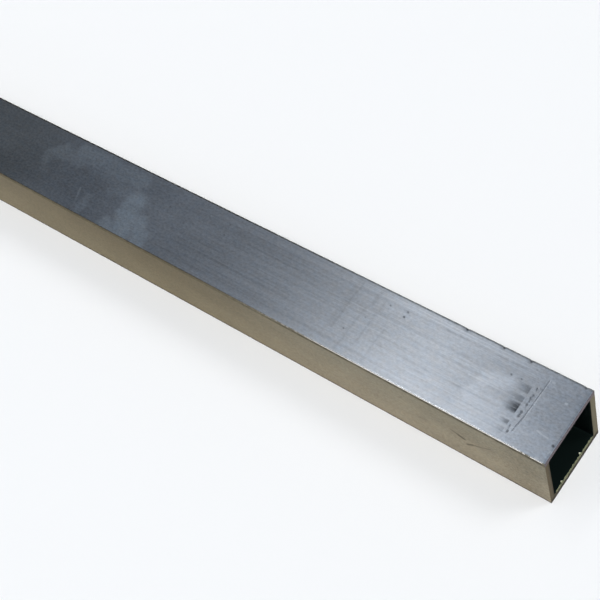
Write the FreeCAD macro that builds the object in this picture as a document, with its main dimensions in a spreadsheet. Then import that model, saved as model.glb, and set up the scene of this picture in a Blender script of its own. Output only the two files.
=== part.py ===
import FreeCAD, Part
import math
import os
import Sketcher

# A length of square aluminium tube, as it is sold: extruded through a die, then sawn square at both ends.
# The tube lies along X, centred on the origin, with its lower face on Z = 0. Millimetres, +Z up.

doc = FreeCAD.newDocument("square_tube")

# The driving sizes
SIZES = [
    ("outer_width", 19.05, "across the flats, 3/4 in"),
    ("wall", 1.5875, "wall thickness, 1/16 in"),
    ("length", 304.8, "cut length, 12 in"),
    ("outer_corner", 0.2, "radius that the die leaves on the outside corners"),
    ("inner_corner", 0.5, "radius that the mandrel leaves in the inside corners"),
]

sizes = doc.addObject("Spreadsheet::Sheet", "sizes")
for row, (alias, value, meaning) in enumerate(SIZES, start=1):
    sizes.set("A%d" % row, alias)
    sizes.set("B%d" % row, str(value))
    sizes.set("C%d" % row, meaning)
    sizes.setAlias("B%d" % row, alias)
doc.recompute()


def origin_plane(body, role):
    """The body's own origin plane that has this role, such as YZ_Plane."""
    return next(feature for feature in body.Origin.OriginFeatures if feature.Role == role)


def draw_rounded_square(sketch, label, side, side_size, corner, corner_size):
    """Draws a closed square with round corners about the sketch's origin and ties it to two sizes."""
    half = side / 2
    flat = half - corner
    first = sketch.GeometryCount
    for turn in range(4):
        # Flat number 0 is the lower one, then they follow anticlockwise, each with the corner at its end
        spin = FreeCAD.Rotation(FreeCAD.Vector(0, 0, 1), 90 * turn)
        start = spin.multVec(FreeCAD.Vector(-flat, -half, 0))
        end = spin.multVec(FreeCAD.Vector(flat, -half, 0))
        centre = spin.multVec(FreeCAD.Vector(flat, -flat, 0))
        circle = Part.Circle(centre, FreeCAD.Vector(0, 0, 1), corner)
        from_angle = math.radians(90 * turn - 90)
        sketch.addGeometry(Part.LineSegment(start, end))
        sketch.addGeometry(Part.ArcOfCircle(circle, from_angle, from_angle + math.pi / 2))

    flats = [first + 2 * turn for turn in range(4)]
    corners = [first + 2 * turn + 1 for turn in range(4)]
    start_point, end_point, sketch_origin = 1, 2, (-1, 1)
    for turn in range(4):
        next_flat = flats[(turn + 1) % 4]
        sketch.addConstraint(Sketcher.Constraint("Tangent", flats[turn], end_point, corners[turn], start_point))
        sketch.addConstraint(Sketcher.Constraint("Tangent", corners[turn], end_point, next_flat, start_point))
    for turn in (0, 2):
        sketch.addConstraint(Sketcher.Constraint("Horizontal", flats[turn]))
        sketch.addConstraint(Sketcher.Constraint("Vertical", flats[turn + 1]))
    for other in corners[1:]:
        sketch.addConstraint(Sketcher.Constraint("Equal", corners[0], other))
    sketch.addConstraint(
        Sketcher.Constraint("Symmetric", flats[0], start_point, flats[2], start_point, *sketch_origin)
    )

    driving = {
        "width": Sketcher.Constraint("DistanceX", flats[3], start_point, flats[1], start_point, side),
        "height": Sketcher.Constraint("DistanceY", flats[0], start_point, flats[2], start_point, side),
        "corner": Sketcher.Constraint("Radius", corners[0], corner),
    }
    expressions = {"width": side_size, "height": side_size, "corner": corner_size}
    for name, constraint in driving.items():
        number = sketch.addConstraint(constraint)
        sketch.renameConstraint(number, label + "_" + name)
        sketch.setExpression("Constraints.%s_%s" % (label, name), expressions[name])


# The tube: one extrusion. Its section is the outside square and the opening inside it.
tube = doc.addObject("PartDesign::Body", "square_tube")
tube.Label = "square_tube"

section = tube.newObject("Sketcher::SketchObject", "section")
section.AttachmentSupport = [(origin_plane(tube, "YZ_Plane"), "")]
section.MapMode = "FlatFace"
draw_rounded_square(
    section,
    "outside",
    sizes.outer_width,
    "sizes.outer_width",
    sizes.outer_corner,
    "sizes.outer_corner",
)
draw_rounded_square(
    section,
    "opening",
    sizes.outer_width - 2 * sizes.wall,
    "sizes.outer_width - 2 * sizes.wall",
    sizes.inner_corner,
    "sizes.inner_corner",
)

# Both ends are plain square saw cuts, so the extrusion runs half its length each way
extrusion = tube.newObject("PartDesign::Pad", "extrusion")
extrusion.Profile = section
extrusion.Midplane = True
extrusion.setExpression("Length", "sizes.length")

# The tube lies on its lower face
tube.setExpression("Placement.Base.z", "sizes.outer_width / 2")
doc.recompute()

# Every object has to be sound before anything is written
for item in doc.Objects:
    faults = [state for state in item.State if state in ("Invalid", "Error")]
    if faults:
        raise RuntimeError("%s failed: %s" % (item.Label, ", ".join(faults)))
if section.solve() != 0:
    raise RuntimeError("the section's constraints don't agree")

pieces = [tube]
for piece in pieces:
    if piece.Shape.isNull() or not piece.Shape.isValid():
        raise RuntimeError("%s has no valid shape" % piece.Label)

os.makedirs("parts", exist_ok=True)
for piece in pieces:
    piece.Shape.exportStep("parts/%s.step" % piece.Label)
    box = piece.Shape.BoundBox
    print(piece.Label, "volume %.1f mm3" % piece.Shape.Volume, "solids", len(piece.Shape.Solids), box)
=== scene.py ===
import math

import bmesh
import bpy
from mathutils import Matrix, Vector, noise


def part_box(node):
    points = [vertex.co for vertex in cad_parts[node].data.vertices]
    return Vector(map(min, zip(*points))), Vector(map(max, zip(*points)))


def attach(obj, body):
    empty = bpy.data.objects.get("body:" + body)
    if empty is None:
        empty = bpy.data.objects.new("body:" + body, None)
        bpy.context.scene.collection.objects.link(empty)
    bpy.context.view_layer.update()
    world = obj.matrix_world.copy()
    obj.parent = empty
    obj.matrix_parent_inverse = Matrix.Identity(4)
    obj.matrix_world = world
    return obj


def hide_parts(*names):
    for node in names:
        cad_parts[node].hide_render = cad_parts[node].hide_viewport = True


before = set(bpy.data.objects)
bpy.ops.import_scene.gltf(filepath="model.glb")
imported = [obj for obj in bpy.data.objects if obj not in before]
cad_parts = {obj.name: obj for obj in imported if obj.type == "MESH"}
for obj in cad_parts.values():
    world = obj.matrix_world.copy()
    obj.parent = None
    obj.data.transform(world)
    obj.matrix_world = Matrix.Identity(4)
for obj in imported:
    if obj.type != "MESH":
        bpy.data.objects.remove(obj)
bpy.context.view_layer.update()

# The tube: one length of square aluminium tube, 3/4 in across with a 1/16 in wall. It is pushed hot through a
# die, which leaves small round corners and fine lines along every face, and is then sawn square at both ends.
mm = 0.001
along_x, across_y, up_z = Vector((1, 0, 0)), Vector((0, 1, 0)), Vector((0, 0, 1))
tube_low, tube_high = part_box("square_tube")
near_x = tube_high.x
length = tube_high.x - tube_low.x
width = tube_high.z - tube_low.z
half = width / 2
wall = 1.5875 * mm
outer_corner = 0.2 * mm
inner_corner = 0.5 * mm
corner_steps = 7
edge_break = 0.03 * mm
edge_break_steps = 2
station_gap = 0.5 * mm
lane_insets = (0.12, 0.4, 1.2, 4.0)
# the mandrel sits a little off centre, so the walls that the picture shows from outside are the thinner ones
bore_shift = 0.2 * mm

tube_mesh = bmesh.new()
bmesh.ops.create_grid(tube_mesh, x_segments=1, y_segments=1, size=half)
bmesh.ops.rotate(tube_mesh, verts=tube_mesh.verts, matrix=Matrix.Rotation(math.radians(90), 3, "Y"))
section = list(tube_mesh.faces)
bmesh.ops.inset_region(tube_mesh, faces=section, thickness=wall, use_even_offset=True, use_boundary=True)
bmesh.ops.translate(tube_mesh, verts=section[0].verts, vec=(0, -bore_shift, bore_shift))
bmesh.ops.delete(tube_mesh, geom=section, context="FACES_ONLY")
pushed = bmesh.ops.extrude_face_region(tube_mesh, geom=list(tube_mesh.faces))
pushed_verts = [part for part in pushed["geom"] if isinstance(part, bmesh.types.BMVert)]
bmesh.ops.translate(tube_mesh, verts=pushed_verts, vec=(length, 0, 0))
bmesh.ops.translate(tube_mesh, verts=tube_mesh.verts, vec=(tube_low.x, 0, half))
bmesh.ops.recalc_face_normals(tube_mesh, faces=tube_mesh.faces)


def runs_along(edge):
    """True for an edge that runs from one end of the tube to the other."""
    first, second = (vert.co for vert in edge.verts)
    return abs(first.x - second.x) > length / 2


def meets_end(edge):
    """True for an edge between a sawn end and a wall."""
    return len({abs(face.normal.x) > 0.5 for face in edge.link_faces}) == 2


def outside(point):
    """True for a point on the tube's outer skin."""
    return max(abs(point.y), abs(point.z - half)) > half - wall / 2


def round_off(edges, radius, steps):
    """Rounds edges of the tube to a radius."""
    bmesh.ops.bevel(
        tube_mesh,
        geom=edges,
        offset=radius,
        segments=steps,
        profile=0.5,
        affect="EDGES",
        material=-1,
    )


def cut_across(faces, places, axis):
    """Cuts faces at planes square to an axis, to give the mesh points there."""
    # a dictionary keeps the parts in the same order on every run, which a set doesn't
    parts = dict.fromkeys(part for face in faces for part in (face, *face.edges, *face.verts))
    for place in places:
        cut = bmesh.ops.bisect_plane(tube_mesh, geom=list(parts), plane_co=axis * place, plane_no=axis)
        parts.update(dict.fromkeys(cut["geom"]))
        parts.update(dict.fromkeys(cut["geom_cut"]))


outer_edges = [edge for edge in tube_mesh.edges if runs_along(edge) and outside(edge.verts[0].co)]
round_off(outer_edges, outer_corner, corner_steps)
inner_edges = [edge for edge in tube_mesh.edges if runs_along(edge) and not outside(edge.verts[0].co)]
round_off(inner_edges, inner_corner, corner_steps)
round_off([edge for edge in tube_mesh.edges if meets_end(edge)], edge_break, edge_break_steps)

# The flats get points close together near the corners, and then all along
least_flat = 5 * mm * length
lanes = [side * (half - outer_corner - inset * mm) for side in (-1, 1) for inset in lane_insets]
flats = [face for face in tube_mesh.faces if abs(face.normal.x) < 0.5 and face.calc_area() > least_flat]
cut_across(flats, lanes, across_y)
upright_flats = [face for face in tube_mesh.faces if abs(face.normal.y) > 0.5 and face.calc_area() > least_flat]
cut_across(upright_flats, [half + lane for lane in lanes], up_z)
long_edges = [edge for edge in tube_mesh.edges if runs_along(edge)]
stations = round(length / station_gap)
bmesh.ops.subdivide_edges(tube_mesh, edges=long_edges, cuts=stations - 1, use_grid_fill=True)

# The marks of a vice on the top face, in mm: along from the near end, which is 0, and across from the middle.
# Each stroke has its start, its end and its reach.
jaw_line = -11.1
jaw_teeth = [
    ((-9.95, 4.2), (-9.85, 3.9), 0.18),
    ((-9.85, 2.55), (-9.75, 2.25), 0.22),
    ((-9.95, 1.75), (-9.85, 1.5), 0.28),
    ((-9.9, 0.95), (-9.85, 0.85), 0.16),
    ((-9.9, 0.1), (-9.85, -0.1), 0.2),
    ((-9.95, -1.8), (-9.85, -2.05), 0.24),
    ((-9.85, -2.65), (-9.95, -2.9), 0.27),
    ((-10.3, -5.6), (-10.35, -5.8), 0.2),
    ((-10.1, -6.8), (-10.15, -7.1), 0.2),
]
score = [
    ((-8.75, 7.0), (-8.85, 2.0), 0.11),
    ((-8.85, 2.0), (-8.95, -3.0), 0.12),
    ((-8.95, -3.0), (-9.35, -6.4), 0.15),
]
tooth_depth = 0.03
score_depth = 0.02
mark_gap = 0.12
mark_lane_gap = 0.25
marks_start = -12.5
marks_end = -8

# The place and reach of each nick in the far upper corner, in mm, and how deep the nicks are
edge_nicks = [(-30.2, 0.45), (-21.0, 0.4), (-14.4, 0.45), (-1.6, 0.5)]
nick_depth = 0.07
nick_zone = 0.35

# The saw's slanting, slightly curved lines across both ends, in mm, and the rougher bites between them
saw_slant = 0.5
saw_curve = 3
saw_wave = 0.11
saw_depth = 0.009
bite_size = 0.5
bite_depth = 0.02
end_gap = 0.26


def along(place):
    """The place along the tube, in metres, of a distance in mm from the near end."""
    return near_x + place * mm


def is_marked_top(face):
    """True for a face of the top where the vice left its marks."""
    centre = face.calc_center_median()
    return face.normal.z > 0.99 and outside(centre) and centre.x > along(marks_start - 0.1)


def end_faces():
    """The faces of both sawn ends."""
    return [face for face in tube_mesh.faces if abs(face.normal.x) > 0.95]


mark_steps = range(38)
lane_steps = range(-36, 37)
near_faces = [face for face in tube_mesh.faces if face.calc_center_median().x > along(marks_start - 0.5)]
cut_across(near_faces, [along(marks_start + mark_gap * step) for step in mark_steps], along_x)
marked_faces = [face for face in tube_mesh.faces if is_marked_top(face)]
cut_across(marked_faces, [step * mark_lane_gap * mm for step in lane_steps], across_y)
cut_across(end_faces(), [step * end_gap * mm for step in lane_steps], across_y)
cut_across(end_faces(), [half + step * end_gap * mm for step in lane_steps], up_z)


def stroke_depth(place, stroke):
    """How deep a point lies in a stroke, from 1 on its line to 0 at its edge."""
    start, end, reach = Vector(stroke[0]), Vector(stroke[1]), stroke[2]
    run = end - start
    share = min(max((place - start).dot(run) / run.length_squared, 0), 1)
    return max(1 - ((place - start - run * share).length / reach) ** 2, 0)


for vert in tube_mesh.verts:
    spot = Vector(((vert.co.x - near_x) / mm, vert.co.y / mm))
    if vert.co.z > width - 0.02 * mm and marks_start - 0.5 < spot.x < marks_end:
        dent = tooth_depth * max(stroke_depth(spot, tooth) for tooth in jaw_teeth)
        dent += score_depth * max(stroke_depth(spot, part) for part in score)
        vert.co.z -= dent * mm
    if vert.co.y > half - nick_zone * mm and vert.co.z > width - nick_zone * mm:
        for nick_place, nick_reach in edge_nicks:
            depth = max(1 - ((spot.x - nick_place) / nick_reach) ** 2, 0) * nick_depth * mm
            vert.co -= Vector((0, depth, depth))
    swing = vert.co.y * saw_slant + vert.co.z - saw_curve * (vert.co.y - half) ** 2
    saw_line = math.sin(swing / (saw_wave * mm))
    rough = noise.noise(Vector((0, vert.co.y, vert.co.z)) / (bite_size * mm))
    bite = (saw_depth * (1 + saw_line) + bite_depth * (rough + 1) / 2) * mm
    if vert.co.x > near_x - edge_break / 4:
        vert.co.x -= bite
    if vert.co.x < tube_low.x + edge_break / 4:
        vert.co.x += bite

# The saw leaves a scalloped burr along the lower inner edge of the near end, with its longest tips bent
# inwards. Its sizes are in mm, and each spike has its place across the tube and its height.
burr_spikes = [(-4.9, 0.24), (-3.5, 0.06), (-0.4, 0.08), (1.4, 0.06), (2.5, 0.27), (4.5, 0.06), (6.0, 0.06)]
burr_length = 14.8
burr_inset = 0.09
burr_root = 0.1
burr_thickness = 0.045
scallop_pitch = 1.08
spike_reach = 0.36

sawn_faces = set(tube_mesh.faces)
burr = bmesh.ops.create_grid(tube_mesh, x_segments=150, y_segments=3, size=0.5)["verts"]
bmesh.ops.rotate(tube_mesh, verts=burr, matrix=Matrix.Rotation(math.radians(90), 3, "X"))
bmesh.ops.rotate(tube_mesh, verts=burr, matrix=Matrix.Rotation(math.radians(90), 3, "Z"))
for vert in burr:
    y, share = vert.co.y * burr_length, vert.co.z + 0.5
    uneven = 0.08 * noise.noise(Vector((y * 1.7, 0, 4)))
    scallop = 0.06 + 0.15 * abs(math.sin(math.pi * y / scallop_pitch)) + uneven
    spike = max(size * max(1 - abs(y - place) / spike_reach, 0) for place, size in burr_spikes)
    lip = (scallop + spike) * min(max((burr_length / 2 - abs(y)) / 0.6, 0), 1)
    bend = burr_inset + share * (0.1 * lip + 1.2 * spike)
    height = share * (lip + burr_root) - burr_root
    vert.co = Vector((near_x - bend * mm, y * mm, wall + bore_shift + height * mm))
burr_faces = list(dict.fromkeys(face for vert in burr for face in vert.link_faces))
bmesh.ops.solidify(tube_mesh, geom=burr_faces, thickness=burr_thickness * mm)

# Each face lies in one quarter of the section, and its place round the skin is the map's first axis. The bore
# and the ends have places of their own on the map.
mill_slot, sawn_slot, bore_slot = 0, 1, 2
bore_on_map = width * 4.2
ends_on_map = width * 9
end_step_on_map = width * 1.2
map_scale = 1 / (length * 1.05)
sharp_angle = math.radians(30)
skin_map = tube_mesh.loops.layers.uv.new("skin")
for face in tube_mesh.faces:
    centre = face.calc_center_median()
    across, up = centre.y, centre.z - half
    from_end = min(near_x - centre.x, centre.x - tube_low.x)
    on_end = face not in sawn_faces or (abs(face.normal.x) > 0.2 and from_end < edge_break)
    on_outside = outside(centre)
    quarter = 0 if up > abs(across) else 1 if across > abs(up) else 2 if -up > abs(across) else 3
    spin = Matrix.Rotation(math.radians(90 * quarter), 2)
    for loop in face.loops:
        place = loop.vert.co
        turned = spin @ Vector((place.y, place.z - half))
        if on_end:
            u = ends_on_map + place.y + (place.x > 0) * end_step_on_map
            v = place.z
        else:
            u = (quarter + 0.5) * width + turned.x + (0 if on_outside else bore_on_map)
            v = place.x - tube_low.x
        loop[skin_map].uv = (u * map_scale, v * map_scale)
    face.smooth = True
    face.material_index = sawn_slot if on_end else mill_slot if on_outside else bore_slot
for edge in tube_mesh.edges:
    edge.smooth = edge.calc_face_angle(math.pi) < sharp_angle

tube_data = bpy.data.meshes.new("square_tube_dressed")
tube_mesh.to_mesh(tube_data)
tube_mesh.free()
tube = bpy.data.objects.new("square_tube_dressed", tube_data)
bpy.context.scene.collection.objects.link(tube)


def node(tree, kind, inputs=(), **options):
    """Adds a shader node, sets its options, and fills its inputs with values or links."""
    made = tree.nodes.new("ShaderNode" + kind)
    for option, value in options.items():
        setattr(made, option, value)
    for socket, value in dict(inputs).items():
        if isinstance(value, bpy.types.NodeSocket):
            tree.links.new(value, made.inputs[socket])
        else:
            made.inputs[socket].default_value = value
    return made


def maths(tree, operation, *values):
    """A sum, product or the like of values."""
    return node(tree, "Math", enumerate(values), operation=operation).outputs[0]


def vector_maths(tree, operation, *values):
    """The same for vectors. The length of a vector is a value."""
    made = node(tree, "VectorMath", enumerate(values), operation=operation)
    return made.outputs["Value" if operation == "LENGTH" else "Vector"]


def ramp(tree, value, low, high, to_low=0.0, to_high=1.0):
    """A smooth step from one value to another as a value goes from low to high."""
    inputs = {0: value, 1: low, 2: high, 3: to_low, 4: to_high}
    return node(tree, "MapRange", inputs, interpolation_type="SMOOTHSTEP").outputs[0]


def blend(tree, share, first, second):
    """Mixes two colours. A colour mix has its colours on sockets 6 and 7 and its result on output 2."""
    return node(tree, "Mix", {0: share, 6: first, 7: second}, data_type="RGBA").outputs[2]


def tint(tree, colour, share, second):
    """Multiplies a colour by another, by a share of the full effect."""
    inputs = {0: share, 6: colour, 7: second}
    return node(tree, "Mix", inputs, data_type="RGBA", blend_type="MULTIPLY").outputs[2]


def mottle(tree, place, stretch, detail=2.0, roughness=0.5):
    """Noise from -0.5 to 0.5 with so many spots to the mm along, across and up."""
    spread = vector_maths(tree, "MULTIPLY", place, stretch)
    made = node(tree, "TexNoise", {"Vector": spread, "Scale": 1.0, "Detail": detail, "Roughness": roughness})
    return maths(tree, "SUBTRACT", made.outputs[0], 0.5)


def stroke_mask(tree, place, start, end, reach, strength, softness):
    """A mark along a line between two places in mm, as strong as given on the line and 0 past its reach."""
    first, second = Vector((*start, 0)), Vector((*end, 0))
    run = second - first
    inputs = {0: place, 1: (first + second) / 2, 2: (0, 0, math.atan2(run.y, run.x))}
    laid = node(tree, "Mapping", inputs, vector_type="TEXTURE").outputs[0]
    past = vector_maths(tree, "SUBTRACT", vector_maths(tree, "ABSOLUTE", laid), (run.length / 2, 0, 1000))
    distance = vector_maths(tree, "LENGTH", vector_maths(tree, "MAXIMUM", past, (0, 0, 0)))
    return ramp(tree, distance, reach * (1 - softness), reach, strength, 0)


def strongest(tree, masks):
    """The strongest of several masks at each point."""
    result = masks[0]
    for mask in masks[1:]:
        result = maths(tree, "MAXIMUM", result, mask)
    return result


def strokes(tree, place, marks, softness):
    """One mask of several marks, each given by its start, end, reach and strength."""
    return strongest(tree, [stroke_mask(tree, place, *mark, softness) for mark in marks])


def new_finish(name):
    """A new material, with its node tree and its shader."""
    finish = bpy.data.materials.new(name)
    finish.use_nodes = True
    return finish, finish.node_tree, finish.node_tree.nodes["Principled BSDF"]


def places_in_mm(tree):
    """A point's place in mm, whole and in parts: along from the near end, across from the middle, and up."""
    scale = (1 / mm, 1 / mm, 1 / mm)
    inputs = {0: node(tree, "TexCoord").outputs["Object"], 1: (-near_x / mm, 0, 0), 3: scale}
    place = node(tree, "Mapping", inputs).outputs[0]
    parts = node(tree, "SeparateXYZ", {0: place}).outputs
    return place, parts["X"], parts["Y"], parts["Z"]


# Mill finish: bare metal as the die leaves it, with lengthwise lines, and marked by a vice and by handling.
# Its upright faces are painted browner and darker than the top, a painted reflection of the shaded floor.
mill, tree, shader = new_finish("mill_finish")
place, x, y, z = places_in_mm(tree)
top = width / mm
side = top / 2
on_top = ramp(tree, z, top - 0.3, top - 0.02)
on_side = ramp(tree, maths(tree, "ABSOLUTE", y), side - 0.2, side - 0.02)

bands = mottle(tree, place, (0.004, 0.42, 0.42), 1)
lines = mottle(tree, place, (0.022, 1.7, 1.7), 4, 0.7)
hairs = mottle(tree, place, (0.06, 8, 8), 2, 0.6)
grain = mottle(tree, place, (1.3, 1.9, 1.9), 4, 0.65)
clouds = mottle(tree, place, (0.05, 0.09, 0.09), 3, 0.55)
blotches = mottle(tree, place, (0.12, 0.22, 0.22), 2, 0.5)
hue = mottle(tree, place, (0.55, 0.8, 0.8), 3, 0.6)

# The die's lines are weaker towards the far end, and between the vice's line and the near end
lined_part = maths(tree, "MULTIPLY", ramp(tree, x, -118, -90, 0.45, 1), ramp(tree, x, -11.3, -10.9, 1, 0.5))
streaks = maths(tree, "MULTIPLY_ADD", bands, 0.5, maths(tree, "MULTIPLY_ADD", hairs, 0.5, lines))
streaks = maths(tree, "MULTIPLY", streaks, lined_part)

# painted reflection and shade on the upright faces: brown, lighter low down and towards the near end
far_part = ramp(tree, x, -110, -40, 1, 0)
low_side_reflection = blend(tree, far_part, (0.329, 0.29, 0.228, 1), (0.195, 0.166, 0.113, 1))
high_side_reflection = blend(tree, far_part, (0.252, 0.237, 0.191, 1), (0.118, 0.1, 0.067, 1))
side_reflection_colour = blend(tree, ramp(tree, z, 2, 17.5), low_side_reflection, high_side_reflection)
# painted reflection: the top is paler and bluer towards the near end and greyer at the far end
top_colour = blend(tree, ramp(tree, x, -22, 0), (0.59, 0.608, 0.64, 1), (0.622, 0.648, 0.69, 1))
top_colour = blend(tree, ramp(tree, x, -135, -165), top_colour, (0.575, 0.58, 0.575, 1))
face_colour = blend(tree, on_side, top_colour, side_reflection_colour)

# A thin pale haze that handling left in patches towards the far end, patches rubbed brighter near the vice,
# and a painted sheen along the shown edge at the near end
wander = node(tree, "TexNoise", {"Vector": place, "Scale": 0.3, "Detail": 3.0}).outputs[1]
wander = vector_maths(tree, "MULTIPLY", vector_maths(tree, "SUBTRACT", wander, (0.5, 0.5, 0.5)), (4, 4, 4))
wavy = vector_maths(tree, "ADD", place, wander)
patch_softness = 0.65
pale_patches = [
    ((-149.5, 4.8), (-152.6, 2.0), 2.2, 0.55),
    ((-153.0, 1.5), (-152.6, -1.0), 1.8, 0.45),
    ((-152.0, -2.0), (-150.5, -3.0), 1.2, 0.2),
    ((-149.5, 3.6), (-143.5, 3.6), 3.0, 0.4),
    ((-144.0, 6.5), (-124.0, 6.0), 3.6, 0.6),
    ((-137.0, 3.6), (-129.0, 3.0), 2.6, 0.3),
    ((-133.5, -4.5), (-133.0, -8.5), 1.8, 0.5),
    ((-121.0, 0.2), (-119.0, -8.5), 4.4, 0.9),
    ((-124.5, -8.0), (-121.0, -9.0), 2.4, 0.75),
    ((-116.0, -4.0), (-112.5, -8.5), 3.2, 0.8),
    ((-129.0, 0.5), (-125.0, 1.8), 2.2, 0.35),
]
rubbed_and_sheen_patches = [
    ((-20.5, 0.8), (-16.5, 2.8), 2.6, 0.18),
    ((-20.8, -3.0), (-16.0, -3.8), 3.2, 0.18),
    # painted sheen: the broad lightening along the shown edge towards the near end
    ((-17.0, -9.0), (6.0, -8.0), 8.0, 0.14),
]
patchy = maths(tree, "MULTIPLY", strokes(tree, wavy, pale_patches, patch_softness), on_top)
polished_and_sheen = strokes(tree, wavy, rubbed_and_sheen_patches, patch_softness)

grainy = maths(tree, "MAXIMUM", ramp(tree, x, -120, -60, 1.02, 0.6), ramp(tree, x, -14, -10, 0.6, 0.98))
grainy = maths(tree, "MULTIPLY_ADD", on_side, 0.7, grainy)
shade = maths(tree, "MULTIPLY_ADD", streaks, ramp(tree, on_side, 0, 1, 0.58, 0.25), 1.0)
shade = maths(tree, "MULTIPLY_ADD", grain, grainy, shade)
shade = maths(tree, "MULTIPLY_ADD", clouds, ramp(tree, x, -125, -70, 0.6, 0.3), shade)
shade = maths(tree, "MULTIPLY_ADD", blotches, maths(tree, "MULTIPLY", on_side, 0.4), shade)
# painted shade: the upright faces darken over the last 20 mm towards the near end
shade = maths(tree, "MULTIPLY_ADD", ramp(tree, x, -20, -4, 0, -0.08), on_side, shade)
shade = maths(tree, "MULTIPLY_ADD", polished_and_sheen, on_top, shade)
warm = maths(tree, "MULTIPLY_ADD", hue, 0.13, shade)
cool = maths(tree, "MULTIPLY_ADD", hue, -0.13, shade)
colour = tint(tree, face_colour, 1.0, node(tree, "CombineColor", {0: warm, 1: shade, 2: cool}).outputs[0])
colour = tint(tree, colour, patchy, (0.89, 0.97, 1.02, 1))

# Dark specks on the top: along, across, reach and strength. The first is the pit at the near end.
dark_dots = [
    (-0.7, -5.2, 0.52, 0.9),
    (-48.3, 6.2, 0.34, 0.5),
    (-43.9, 6.6, 0.44, 0.55),
    (-44.0, 5.2, 0.4, 0.7),
    (-51.5, 1.0, 0.34, 0.35),
    (-54.2, -3.6, 0.34, 0.55),
    (-16.4, 4.5, 0.36, 0.6),
    (-14.0, 4.6, 0.3, 0.5),
    (-106.0, 1.3, 0.5, 0.5),
    (-94.5, 3.3, 0.4, 0.5),
    (-95.0, 6.3, 0.4, 0.4),
    (-112.0, 3.5, 0.5, 0.4),
    (-7.5, -3.0, 0.5, 0.25),
    (-19.8, -5.6, 0.3, 0.15),
    (-30.2, 9.15, 0.42, 0.8),
    (-21.0, 9.1, 0.36, 0.7),
    (-14.4, 9.0, 0.4, 0.7),
    (-1.7, 9.1, 0.4, 0.6),
    (-2.4, 7.0, 0.45, 0.25),
    (-12.4, 8.0, 0.4, 0.25),
]
short_dots = [
    ((start_x, start_y), (start_x + 0.15, start_y - 0.1), reach, strength)
    for start_x, start_y, reach, strength in dark_dots
]
dark_lines = [
    ((-60, 7.0), (-14, 7.0), 0.4, 0.16),
    ((-57, -3.4), (-15, -3.3), 0.34, 0.12),
    ((-44, -4.7), (-32, -4.7), 0.3, 0.12),
    ((-60, 3.5), (-18, 3.4), 0.6, 0.1),
    ((-62, 1.2), (-20, 1.2), 0.5, 0.08),
    ((-20, -1.7), (-12, -1.6), 0.4, 0.12),
    ((-108.0, -6.6), (-94.0, -7.6), 0.7, 0.3),
    ((-100.0, -3.5), (-88.0, -3.7), 0.5, 0.25),
]
cross_scuffs = [
    ((-57.0, 8.3), (-56.8, -4.5), 0.55, 0.16),
    ((-57.9, 8.6), (-57.8, -4.0), 1.3, 0.09),
    ((-51.8, 8.0), (-52.0, 5.0), 1.0, 0.14),
    ((-52.7, 3.0), (-53.1, -9.0), 0.55, 0.11),
    ((-49.6, 7.0), (-49.8, -6.0), 0.55, 0.1),
    ((-46.1, 0.5), (-46.0, -8.5), 0.5, 0.1),
]
dots = strokes(tree, place, short_dots, 1)
teeth = strokes(tree, place, [(start, end, reach * 2.1, 0.56) for start, end, reach in jaw_teeth], 0.9)
scored = strokes(tree, place, [(start, end, reach * 2.4, 0.33) for start, end, reach in score], 1)
uneven = ramp(tree, mottle(tree, place, (1.5, 1.5, 0), 2, 0.5), -0.15, 0.1, 0.45, 1.1)
vice_marks = maths(tree, "MULTIPLY", strongest(tree, [teeth, scored]), uneven)
fitful = ramp(tree, mottle(tree, place, (0.16, 0.8, 0), 2, 0.5), -0.12, 0.1, 0.3, 1.1)
drawn = maths(tree, "MULTIPLY", strokes(tree, place, dark_lines, 0.9), fitful)
bent = vector_maths(tree, "ADD", place, vector_maths(tree, "MULTIPLY", wander, (0.25, 0.25, 0.25)))
dark = strongest(tree, [dots, vice_marks, drawn, strokes(tree, bent, cross_scuffs, 1)])

# Smudges that end at the vice's line: place across, reach, run away from the line, and strength
smudges = [
    (-1.6, 1.6, 3.6, 0.9),
    (3.1, 1.3, 3.6, 0.5),
    (0.6, 1.0, 5.0, 0.44),
    (-5.2, 0.7, 2.4, 0.56),
    (-7.3, 1.1, 2.4, 0.24),
]
smears = []
for middle, reach, run, strength in smudges:
    off = maths(tree, "ABSOLUTE", maths(tree, "SUBTRACT", y, middle))
    beside = ramp(tree, off, reach * 0.4, reach, strength, 0)
    smears.append(maths(tree, "MULTIPLY", beside, ramp(tree, x, jaw_line - run, jaw_line + 0.2)))
streaky = ramp(tree, mottle(tree, place, (0.5, 2.0, 0), 3, 0.7), -0.22, 0.04, 0.6, 1.05)
before_line = ramp(tree, x, jaw_line - 0.06, jaw_line + 0.12, 1, 0)
smear = maths(tree, "MULTIPLY", strongest(tree, smears), before_line)
smear = maths(tree, "MULTIPLY", smear, streaky)
dark = maths(tree, "MULTIPLY", maths(tree, "MAXIMUM", dark, smear), on_top)
colour = blend(tree, dark, colour, (0.075, 0.08, 0.09, 1))

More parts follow.
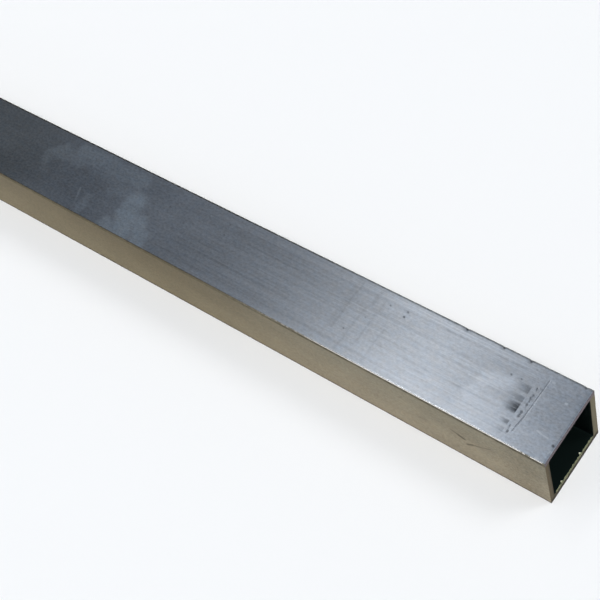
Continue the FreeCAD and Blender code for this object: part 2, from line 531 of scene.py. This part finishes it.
# Bright nicks and scratches on the top, and double light lines near the far edge
light_marks = [
    ((-7.9, 7.0), (-7.65, 7.0), 0.4, 0.7),
    ((-3.3, 4.1), (-3.1, 4.1), 0.42, 1.0),
    ((-0.35, -6.8), (-0.3, -6.6), 0.48, 1.0),
    ((-2.3, -9.1), (-1.8, -9.1), 0.32, 1.0),
    ((-5.1, -3.9), (-3.9, -4.2), 0.32, 0.85),
    ((-3.6, -4.2), (-2.4, -4.3), 0.28, 0.85),
    ((-60, 8.35), (-12, 8.3), 0.26, 0.28),
    ((-60, 7.6), (-14, 7.6), 0.24, 0.25),
    ((-24, -6.3), (-11, -6.3), 0.34, 0.25),
    ((-24, 0.2), (-13, 0.2), 0.3, 0.3),
    ((-19, -7.9), (-8, -7.8), 0.3, 0.2),
    ((-9.1, 4.0), (-9.15, -3.0), 0.14, 0.3),
    ((-137.4, -2.9), (-136.4, -5.4), 0.45, 0.6),
    ((-136.4, -5.4), (-135.4, -8.0), 0.45, 0.3),
]
bright = maths(tree, "MULTIPLY", strokes(tree, place, light_marks, 0.8), on_top)
colour = blend(tree, bright, colour, (0.9, 0.92, 0.95, 1))

# The shown upper corner is painted bright, partly wear and partly a painted highlight where the strip lamp's
# reflection lies. The line is whole along most of the near part, breaks into dashes at the very end and further
# along, and then fades out.
outermost = ramp(tree, y, 0.13 - side, 0.18 - side, 1, 0)
uppermost = ramp(tree, z, top - 0.45, top - 0.33)
worn_and_highlit = maths(tree, "MULTIPLY", outermost, uppermost)
dashes = ramp(tree, mottle(tree, place, (1.3, 0.2, 0.2), 2, 0.5), -0.06, 0.06)
whole = maths(tree, "MULTIPLY", ramp(tree, x, -6.5, -5, 1, 0), ramp(tree, x, -66, -54))
worn_and_highlit = maths(tree, "MULTIPLY", worn_and_highlit, ramp(tree, x, -88, -40))
worn_and_highlit = maths(tree, "MULTIPLY", worn_and_highlit, maths(tree, "MAXIMUM", dashes, whole))
colour = blend(tree, worn_and_highlit, colour, (0.92, 0.905, 0.9, 1))

# Scratches on the side that the picture shows: along and up, in mm
side_place = vector_maths(tree, "ADD", place, (0, side, 0))
side_place = node(tree, "Mapping", {0: side_place, 2: (math.radians(-90), 0, 0)}).outputs[0]
side_scratches = [
    ((-22.9, 10.6), (-21.6, 10.0), 0.55, 0.6),
    ((-21.6, 10.0), (-20.4, 9.5), 0.75, 0.95),
    ((-19.8, 7.5), (-18.3, 8.7), 0.55, 0.8),
    ((-18.3, 8.7), (-16.2, 9.7), 0.42, 0.6),
    ((-16.2, 9.7), (-13.6, 11.4), 0.36, 0.4),
    ((-32.0, 8.0), (-30.2, 8.7), 0.8, 0.22),
    ((-36.5, 13.0), (-35.5, 14.2), 0.4, 0.3),
]
on_shown_side = ramp(tree, y, 0.1 - side, -side)
scratched = maths(tree, "MULTIPLY", strokes(tree, side_place, side_scratches, 0.9), on_shown_side)
colour = blend(tree, scratched, colour, (0.05, 0.045, 0.035, 1))

# Painted shade, dark brown: a line below each upper corner, covering the whole corner further along, a painted
# shadow along the lower edge and, broken up, a line on the far upper corner
beside = maths(tree, "ABSOLUTE", y)
broken = ramp(tree, mottle(tree, place, (1.1, 0.2, 0.2), 3, 0.7), -0.12, 0.08, 0.6, 1)
upper = maths(tree, "MAXIMUM", ramp(tree, z, top - 0.4, top - 0.55), ramp(tree, x, -75, -92))
upper = maths(tree, "MULTIPLY", upper, ramp(tree, z, top - 1.75, top - 1.2))
upper = maths(tree, "MULTIPLY", upper, ramp(tree, x, -90, -55, 0.38, 0.72))
lower = ramp(tree, z, 0.9, 0.35, 0, 0.85)
near_skin = ramp(tree, beside, side - 0.3, side - 0.12)
painted_edge_shade = maths(tree, "MULTIPLY", maths(tree, "MAXIMUM", upper, lower), near_skin)
rim = maths(tree, "MULTIPLY", ramp(tree, y, side - 0.6, side - 0.3), ramp(tree, z, top - 0.25, top - 0.18))
rim = maths(tree, "MULTIPLY", rim, ramp(tree, x, -100, -40, 0.9, 0.5))
painted_edge_shade = maths(tree, "MULTIPLY", maths(tree, "MAXIMUM", painted_edge_shade, rim), broken)
colour = blend(tree, painted_edge_shade, colour, (0.05, 0.042, 0.03, 1))

# The haze isn't metal, the dark marks and the painted edge shade are duller, and the die's lines spread the
# gloss across
tree.links.new(colour, shader.inputs["Base Color"])
tree.links.new(maths(tree, "MULTIPLY_ADD", patchy, -0.09, 1.0), shader.inputs["Metallic"])
dull = maths(tree, "MULTIPLY_ADD", dark, 0.2, maths(tree, "MULTIPLY_ADD", streaks, 0.05, 0.32))
dull = maths(tree, "MULTIPLY_ADD", painted_edge_shade, 0.3, maths(tree, "MULTIPLY_ADD", worn_and_highlit, -0.08, dull))
tree.links.new(dull, shader.inputs["Roughness"])
shader.inputs["Specular Tint"].default_value = (0.9, 0.84, 0.72, 1)
shader.inputs["Anisotropic"].default_value = 0.6
round_the_section = node(tree, "Tangent", direction_type="UV_MAP", uv_map="skin")
tree.links.new(round_the_section.outputs[0], shader.inputs["Tangent"])

# The sawn ends are rougher and darker than the skin, and the burr along the lower inner edge is brighter, most
# of all at its longest tips. Each wall of the near end has its own painted reflection of the part of the room
# it faces.
sawn, tree, shader = new_finish("sawn_end")
place, x, y, z = places_in_mm(tree)
# painted reflection: each wall of the near end in its own shade, tan at the sides and mauve above
colour = blend(tree, ramp(tree, y, -8.65, -8.4), (0.094, 0.07, 0.033, 1), (0.045, 0.035, 0.016, 1))
colour = blend(tree, ramp(tree, y, 7.6, 8.0), colour, (0.149, 0.13, 0.077, 1))
colour = blend(tree, ramp(tree, z, 17.2, 17.8), colour, (0.132, 0.109, 0.129, 1))
# painted shade: a dark strip along the top edge of the end
colour = blend(tree, ramp(tree, z, 18.9, 19.0), colour, (0.03, 0.022, 0.03, 1))
# painted shade: the lower wall's end is darkest next to the floor
low = blend(tree, ramp(tree, z, 0.4, 1.0), (0.004, 0.002, 0, 1), (0.034, 0.026, 0.004, 1))
colour = blend(tree, ramp(tree, z, 1.7, 1.1), colour, low)
lip = maths(tree, "MULTIPLY", ramp(tree, z, 1.3, 1.9), ramp(tree, z, 3.6, 3.2))
lip = maths(tree, "MULTIPLY", lip, ramp(tree, maths(tree, "ABSOLUTE", y), 7.6, 7.3))
tips = blend(tree, ramp(tree, z, 1.98, 2.16), (0.5, 0.52, 0.32, 1), (0.97, 0.99, 0.8, 1))
colour = blend(tree, lip, colour, tips)
# the far end, which the picture doesn't show, is plain
colour = blend(tree, ramp(tree, x, -20, -10), (0.17, 0.156, 0.13, 1), colour)
shade = maths(tree, "MULTIPLY_ADD", mottle(tree, place, (1, 2.2, 2.2), 3, 0.6), 0.8, 1.0)
colour = tint(tree, colour, 1.0, node(tree, "CombineColor", {0: shade, 1: shade, 2: shade}).outputs[0])
tree.links.new(colour, shader.inputs["Base Color"])
shader.inputs["Metallic"].default_value = 1
shader.inputs["Specular Tint"].default_value = (0.92, 0.89, 0.85, 1)
shader.inputs["Roughness"].default_value = 0.5

# The bore's colour is a painted shade: it is almost black, as the inside of the tube looks from outside. It has
# no marks, since nothing reaches it.
bore, tree, shader = new_finish("bore_finish")
shader.inputs["Base Color"].default_value = (0.017, 0.029, 0.027, 1)
shader.inputs["Metallic"].default_value = 1
shader.inputs["Roughness"].default_value = 0.42

for finish in (mill, sawn, bore):
    tube.data.materials.append(finish)
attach(tube, "root")
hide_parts("square_tube")

# The floor: a plain pale board without any gloss, large enough to fill the view from any side. The tube lies
# on it and it isn't part of the object.
floor_half = 30
floor_mesh = bmesh.new()
bmesh.ops.create_grid(floor_mesh, x_segments=1, y_segments=1, size=floor_half)
floor_data = bpy.data.meshes.new("floor")
floor_mesh.to_mesh(floor_data)
floor_mesh.free()
floor = bpy.data.objects.new("floor", floor_data)
bpy.context.scene.collection.objects.link(floor)
pale, tree, shader = new_finish("pale_floor")
shader.inputs["Base Color"].default_value = (0.92, 0.92, 0.92, 1)
shader.inputs["Roughness"].default_value = 1
shader.inputs["Specular IOR Level"].default_value = 0
floor.data.materials.append(pale)

# The room: dim and a little blue overhead, dimmest beyond the tube's far end, and paler low down, where the
# floor's light reaches its walls. The metal mirrors it.
room = bpy.data.worlds.new("room")
bpy.context.scene.world = room
room.use_nodes = True
tree = room.node_tree
parts = node(tree, "SeparateXYZ", {0: node(tree, "TexCoord").outputs["Generated"]}).outputs
far_glow = ramp(tree, parts["X"], -0.78, -0.58, 0.86, 1.45)
near_glow = ramp(tree, parts["X"], -0.45, -0.05, 0, 1.3)
glow = maths(tree, "ADD", far_glow, near_glow)
levels = {index: maths(tree, "MULTIPLY", glow, level) for index, level in enumerate((0.065, 0.077, 0.094))}
overhead = node(tree, "CombineColor", levels).outputs[0]
shade = blend(tree, ramp(tree, parts["Z"], 0.08, 0.26), (0.75, 0.75, 0.75, 1), overhead)
tree.links.new(shade, tree.nodes["Background"].inputs["Color"])

# The lamps: two soft ones overhead, and a long narrow strip whose mirror image is the bright band across the
# tube's top, near the marked end


def aim(lamp, direction, target=(0, 0, 0), distance=1.0, turn=0.0):
    """Puts a lamp or camera at a distance from its target and points it there."""
    out = Vector(direction).normalized()
    lamp.rotation_mode = "QUATERNION"
    lamp.rotation_quaternion = out.to_track_quat("Z", "Y") @ Matrix.Rotation(turn, 3, "Z").to_quaternion()
    lamp.location = Vector(target) + out * distance


def add_sun(name, direction, strength, spread, colour):
    """Adds a soft, distant lamp that shines from a direction."""
    light = bpy.data.lights.new(name, "SUN")
    light.energy = strength
    light.angle = math.radians(spread)
    light.color = colour
    lamp = bpy.data.objects.new(name, light)
    bpy.context.scene.collection.objects.link(lamp)
    aim(lamp, direction)


add_sun("back_light", (0.40, 0.42, 0.81), 0.55, 20, (1, 1, 1))
add_sun("front_light", (0.50, -0.25, 0.83), 2.4, 20, (1, 0.99, 0.97))
light = bpy.data.lights.new("overhead_strip", "AREA")
light.shape = "RECTANGLE"
light.size = 1.4
light.size_y = 0.07
light.energy = 1.55
light.color = (0.93, 0.965, 1)
strip = bpy.data.objects.new("overhead_strip", light)
bpy.context.scene.collection.objects.link(strip)
strip_target = Vector((near_x - 31 * mm, -235 * mm, width))
strip_distance = 1.12
aim(strip, (-0.431, 0, 1.0), strip_target, strip_distance)

# The camera looks down on the near end from its right, as the photograph does. Its lens, place and tilt come
# from the tube's outline in the photograph.
camera_data = bpy.data.cameras.new("camera")
camera_data.sensor_width = 36
camera_data.lens = 77.7
camera_data.clip_start = 0.01
camera_data.clip_end = 100
camera = bpy.data.objects.new("camera", camera_data)
bpy.context.scene.collection.objects.link(camera)
bpy.context.scene.camera = camera
aim_point = Vector((near_x - 67.197 * mm, -2.499 * mm, width))
camera_distance = 289.36 * mm
camera_tilt = math.radians(-23.58)
view = Vector((-0.483241, 0.318737, -0.815405))
aim(camera, -view, aim_point, camera_distance, camera_tilt)

bpy.context.scene.view_settings.view_transform = "Standard"
